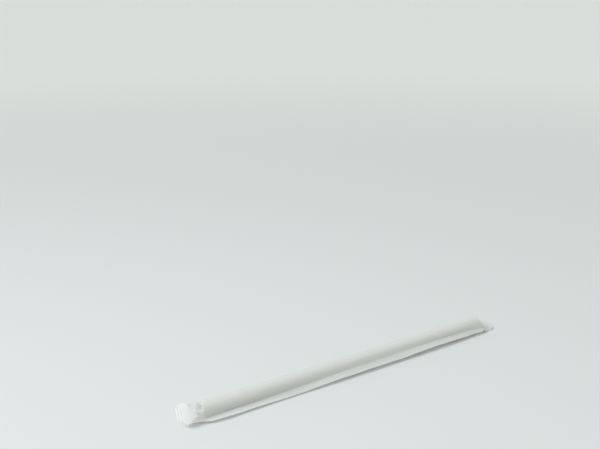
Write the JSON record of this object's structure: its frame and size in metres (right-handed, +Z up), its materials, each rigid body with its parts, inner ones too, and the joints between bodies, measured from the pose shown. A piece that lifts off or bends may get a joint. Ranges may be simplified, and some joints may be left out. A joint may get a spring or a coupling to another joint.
{
  "type": "wrapped paper drinking straw",
  "caption": "Straight paper drinking straw in a thin white paper sleeve with a lengthwise fin seam and flattened, crimped ends, for a cold drink.",
  "frame": {"origin": "on the table, under the middle of the straw's length and below its axis", "axes": "+X along the straw to the end with the shorter overhang, -Y to the side on which the fin seam stands out, +Z up"},
  "size_m": [0.2224, 0.0155, 0.0091],
  "materials": {
    "straw_paper": "matt wound paper with a faint spiral seam",
    "wrapper_paper": "thin matt white paper that lets light through"
  },
  "bodies": {
    "root": {"straw": "straw_paper", "wrapper": "wrapper_paper"}
  },
  "joints": []
}
